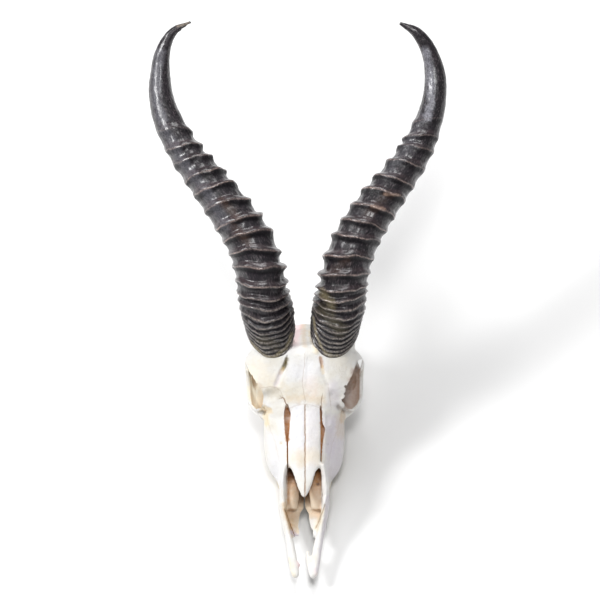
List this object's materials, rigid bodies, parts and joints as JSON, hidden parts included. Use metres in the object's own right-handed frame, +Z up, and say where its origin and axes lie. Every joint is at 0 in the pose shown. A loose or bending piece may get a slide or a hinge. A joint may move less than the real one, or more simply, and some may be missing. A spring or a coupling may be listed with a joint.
{
  "type": "springbok skull with horns",
  "caption": "Cleaned springbok skull without the lower jaw, with ringed lyre-shaped horn sheaths on their bony cores and cheek teeth in their sockets.",
  "frame": {"origin": "middle of the bottom of the bounding box, on the level surface that the skull stands on", "axes": "+Z up when the skull stands on its cheek teeth and rear spurs, -Y the way the snout points, +X the animal's left side"},
  "size_m": [0.2126, 0.3552, 0.2054],
  "materials": {
    "bone": "matte",
    "horn": "satin",
    "tooth": "satin"
  },
  "bodies": {
    "root": {"skull": "bone", "left_horn": "horn", "right_horn": "horn", "left_premolar_2": "tooth", "left_premolar_3": "tooth", "left_premolar_4": "tooth", "left_molar_1": "tooth", "left_molar_2": "tooth", "left_molar_3": "tooth", "right_premolar_2": "tooth", "right_premolar_3": "tooth", "right_premolar_4": "tooth", "right_molar_1": "tooth", "right_molar_2": "tooth", "right_molar_3": "tooth"}
  },
  "joints": []
}
